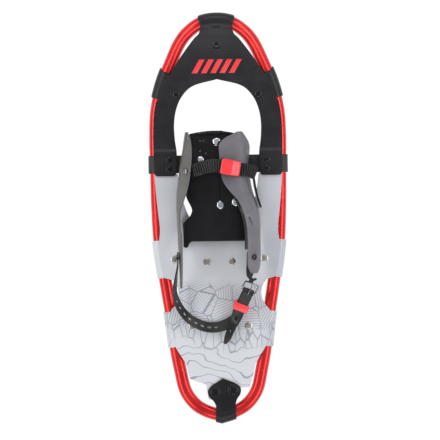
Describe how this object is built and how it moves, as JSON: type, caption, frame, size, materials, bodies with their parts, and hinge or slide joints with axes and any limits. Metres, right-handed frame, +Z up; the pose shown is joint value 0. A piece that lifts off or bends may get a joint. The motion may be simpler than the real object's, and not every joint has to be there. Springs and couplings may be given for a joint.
{
  "type": "snowshoe",
  "caption": "Snowshoe with a bent tube frame, toe and rear decking, toothed crampons and a strap binding that turns on a toe cord",
  "frame": {"origin": "centre of the bounding box's underside, on the crampon teeth's level", "axes": "+Y towards the upturned nose, +X to the right of travel, +Z up"},
  "size_m": [0.2198, 0.6395, 0.0963],
  "materials": {
    "red_tube": "anodised red, satin",
    "steel": "plain steel",
    "black_decking": "fine grained black polymer sheet",
    "pale_decking": "satin translucent grey sheet with printed lines",
    "black_polymer": "moulded black polymer",
    "black_rivet": "gloss black",
    "bright_rivet": "bright dome",
    "toe_webbing": "coated woven webbing",
    "wing_grey": "satin grey flexible polymer",
    "ladder_black": "ribbed black polymer",
    "heel_strap": "satin dark grey",
    "red_polymer": "bright red moulding"
  },
  "bodies": {
    "frame": {"frame_tube": "red_tube", "tail_splice": "steel", "toe_deck": "black_decking", "rear_deck": "pale_decking", "tail_clip": "black_polymer", "tail_clip_plate": "black_polymer", "tail_screw_left": "black_rivet", "tail_screw_right": "black_rivet", "toe_cord_left": "toe_webbing", "toe_cord_right": "toe_webbing", "nose_rivet": "black_rivet", "shoulder_rivet_left": "black_rivet", "shoulder_rivet_right": "black_rivet", "cord_rivet_left_front": "black_rivet", "cord_rivet_left_rear": "black_rivet", "cord_rivet_right_front": "black_rivet", "cord_rivet_right_rear": "black_rivet", "side_rivet_left": "bright_rivet", "side_rivet_right": "bright_rivet", "heel_crampon": "steel", "heel_rivet_left_front": "bright_rivet", "heel_rivet_left_rear": "bright_rivet", "heel_rivet_right_front": "bright_rivet", "heel_rivet_right_rear": "bright_rivet"},
    "binding": {"toe_cord_middle": "toe_webbing", "cord_clamp": "black_polymer", "toe_crampon": "steel", "footbed": "black_polymer", "footbed_rivet_left": "bright_rivet", "footbed_rivet_front": "bright_rivet", "footbed_rivet_centre": "bright_rivet", "footbed_rivet_right": "bright_rivet", "left_wing": "wing_grey", "right_wing": "wing_grey", "right_liner": "black_polymer", "right_inner_strap": "black_polymer", "ladder_strap": "ladder_black", "ladder_rivet": "bright_rivet", "buckle_base": "black_polymer", "buckle_rivet": "steel", "buckle_pin": "steel", "heel_pivot_left": "bright_rivet", "heel_pivot_right": "bright_rivet", "buckle_link": "heel_strap"},
    "lever": {"buckle_lever": "red_polymer"},
    "pawl": {"buckle_pawl": "steel"},
    "heel_strap_body": {"heel_strap": "heel_strap", "heel_buckle_frame": "steel", "heel_buckle_roller": "steel"},
    "prong": {"heel_buckle_prong": "steel"},
    "keeper": {"heel_keeper": "red_polymer"}
  },
  "joints": [
    {"name": "binding_pivot", "type": "hinge", "parent": "frame", "child": "binding", "pos_m": [0, 0.0875, 0.033], "axis": [-1, 0, 0], "range_deg": [0, 60], "stiffness_Nm_per_rad": 0.35},
    {"name": "lever_lift", "type": "hinge", "parent": "binding", "child": "lever", "pos_m": [0.02671, 0.07879, 0.07599], "axis": [0.1736, 0.9848, 0], "range_deg": [0, 35], "stiffness_Nm_per_rad": 0.02},
    {"name": "pawl_lift", "type": "hinge", "parent": "binding", "child": "pawl", "pos_m": [0.02671, 0.07879, 0.07599], "axis": [0.1736, 0.9848, 0], "range_deg": [0, 6], "stiffness_Nm_per_rad": 0.02},
    {"name": "heel_strap_swing", "type": "hinge", "parent": "binding", "child": "heel_strap_body", "pos_m": [0, -0.059, 0.0735], "axis": [-1, 0, 0], "range_deg": [0, 30]},
    {"name": "prong_swing", "type": "hinge", "parent": "heel_strap_body", "child": "prong", "pos_m": [0.05032, -0.10006, 0.06421], "axis": [-0.904, 0.374, 0.2073], "range_deg": [0, 80]},
    {"name": "keeper_slide", "type": "slide", "parent": "heel_strap_body", "child": "keeper", "axis": [-0.4212, -0.8624, -0.2808], "range_m": [-0.006, 0.004]}
  ]
}
